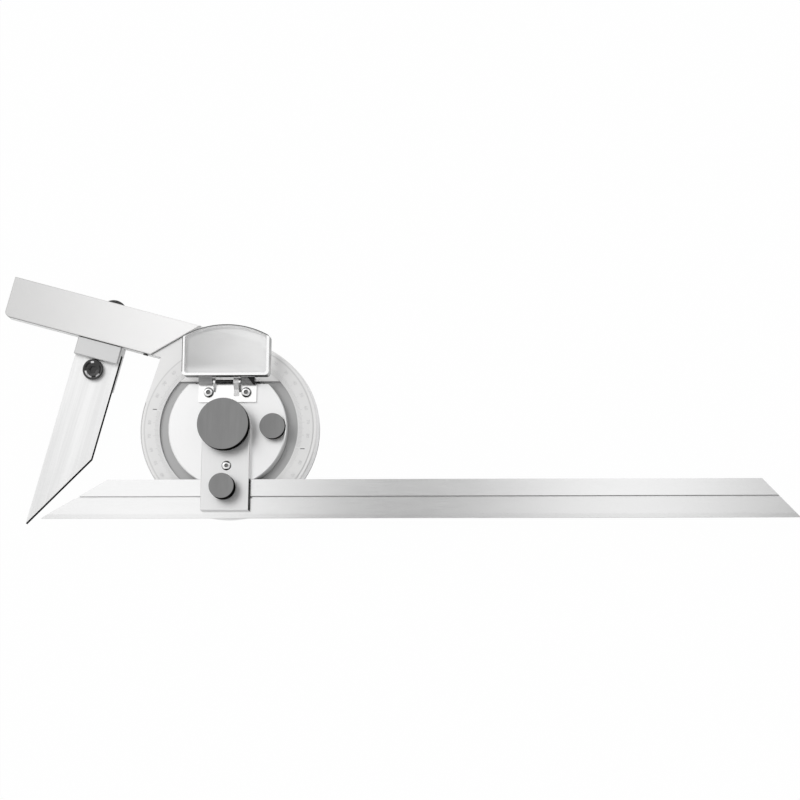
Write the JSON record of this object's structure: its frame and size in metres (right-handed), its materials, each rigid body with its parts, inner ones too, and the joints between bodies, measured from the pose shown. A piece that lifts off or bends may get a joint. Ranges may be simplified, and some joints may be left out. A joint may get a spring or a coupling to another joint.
{
  "type": "bevel protractor",
  "caption": "Universal bevel protractor with a dial stock, sliding grooved blade, fine-adjust turret, flip-up magnifier and acute-angle attachment.",
  "frame": {"origin": "centre of the rear boss's flat face, on the dial's axis", "axes": "+X along the blade towards its long end, +Z out of the dial face, +Y from the blade towards the magnifier"},
  "size_m": [0.3169, 0.0977, 0.0246],
  "materials": {
    "satin_chrome": "satin chrome plate",
    "dial_chrome": "matt satin chrome, engraved",
    "bright_chrome": "bright chrome plate",
    "blade_steel": "ground hardened steel",
    "gear_steel": "machined steel",
    "polished_steel": "polished steel",
    "frame_chrome": "polished frame",
    "knob_grey": "dark grey satin",
    "black_oxide": "glossy black oxide",
    "bronze": "sintered bronze",
    "lens_glass": "clear polished"
  },
  "bodies": {
    "base": {"base_body": "satin_chrome", "scale_ring": "dial_chrome", "ring_gear": "gear_steel", "gear_screws": "black_oxide", "centre_stud": "gear_steel", "stock_set_screw": "black_oxide"},
    "turret": {"turret_disc": "bright_chrome", "centre_bush": "bronze", "turret_washer": "bronze", "vernier_plate": "dial_chrome", "vernier_screws": "polished_steel", "swivel_arm": "satin_chrome", "arm_screw": "polished_steel", "arm_dowels": "gear_steel", "magnifier_bracket": "bright_chrome", "bracket_screws": "polished_steel", "hinge_pin": "black_oxide", "hinge_spring": "polished_steel", "knob_washer": "polished_steel", "pinion_bush": "bronze", "clamp_washer": "polished_steel"},
    "dial_knob": {"dial_clamp_knob": "knob_grey"},
    "fine_drive": {"fine_knob": "knob_grey", "pinion_shaft": "gear_steel"},
    "blade": {"blade": "blade_steel"},
    "clamp_knob": {"blade_clamp_knob": "knob_grey"},
    "hook": {"blade_hook_bolt": "gear_steel"},
    "magnifier": {"magnifier_frame": "frame_chrome", "magnifier_lens": "lens_glass"},
    "attachment": {"attachment_holder": "satin_chrome", "attachment_leg": "blade_steel", "leg_screw": "black_oxide", "clamp_t_nut": "gear_steel"},
    "attachment_screw": {"attachment_clamp_screw": "black_oxide"}
  },
  "joints": [
    {"name": "turret_rotation", "type": "hinge", "parent": "base", "child": "turret", "pos_m": [0, 0, 0.0139], "axis": [0, 0, 1], "continuous": true},
    {"name": "dial_clamp_turn", "type": "hinge", "parent": "base", "child": "dial_knob", "pos_m": [0, 0, 0.0174], "axis": [0, 0, 1], "range_deg": [0, 180]},
    {"name": "fine_adjust", "type": "hinge", "parent": "turret", "child": "fine_drive", "pos_m": [0.0186, 0, 0.0139], "axis": [0, 0, 1], "continuous": true},
    {"name": "blade_slide", "type": "slide", "parent": "turret", "child": "blade", "axis": [1, 0, 0], "range_m": [-0.2, 0.05]},
    {"name": "blade_clamp_turn", "type": "hinge", "parent": "turret", "child": "clamp_knob", "pos_m": [0, -0.0245, 0.0174], "axis": [0, 0, 1], "range_deg": [0, 180]},
    {"name": "hook_lift", "type": "slide", "parent": "turret", "child": "hook", "axis": [0, 0, 1], "range_m": [-0.00025, 0]},
    {"name": "magnifier_flip", "type": "hinge", "parent": "turret", "child": "magnifier", "pos_m": [0, 0.018, 0.0159], "axis": [1, 0, 0], "range_deg": [0, 95]},
    {"name": "attachment_slide", "type": "slide", "parent": "base", "child": "attachment", "axis": [0.9659, -0.2588, 0], "range_m": [-0.03, 0.008]},
    {"name": "attachment_clamp_turn", "type": "hinge", "parent": "attachment", "child": "attachment_screw", "pos_m": [-0.04884, 0.04725, 0.001], "axis": [0, 0, -1], "range_deg": [0, 180]}
  ],
  "couplings": [
    {"joint": "fine_adjust", "follows": "turret_rotation", "ratio": -6.1667},
    {"joint": "blade_clamp_turn", "follows": "hook_lift", "rad_per_m": -12566}
  ]
}
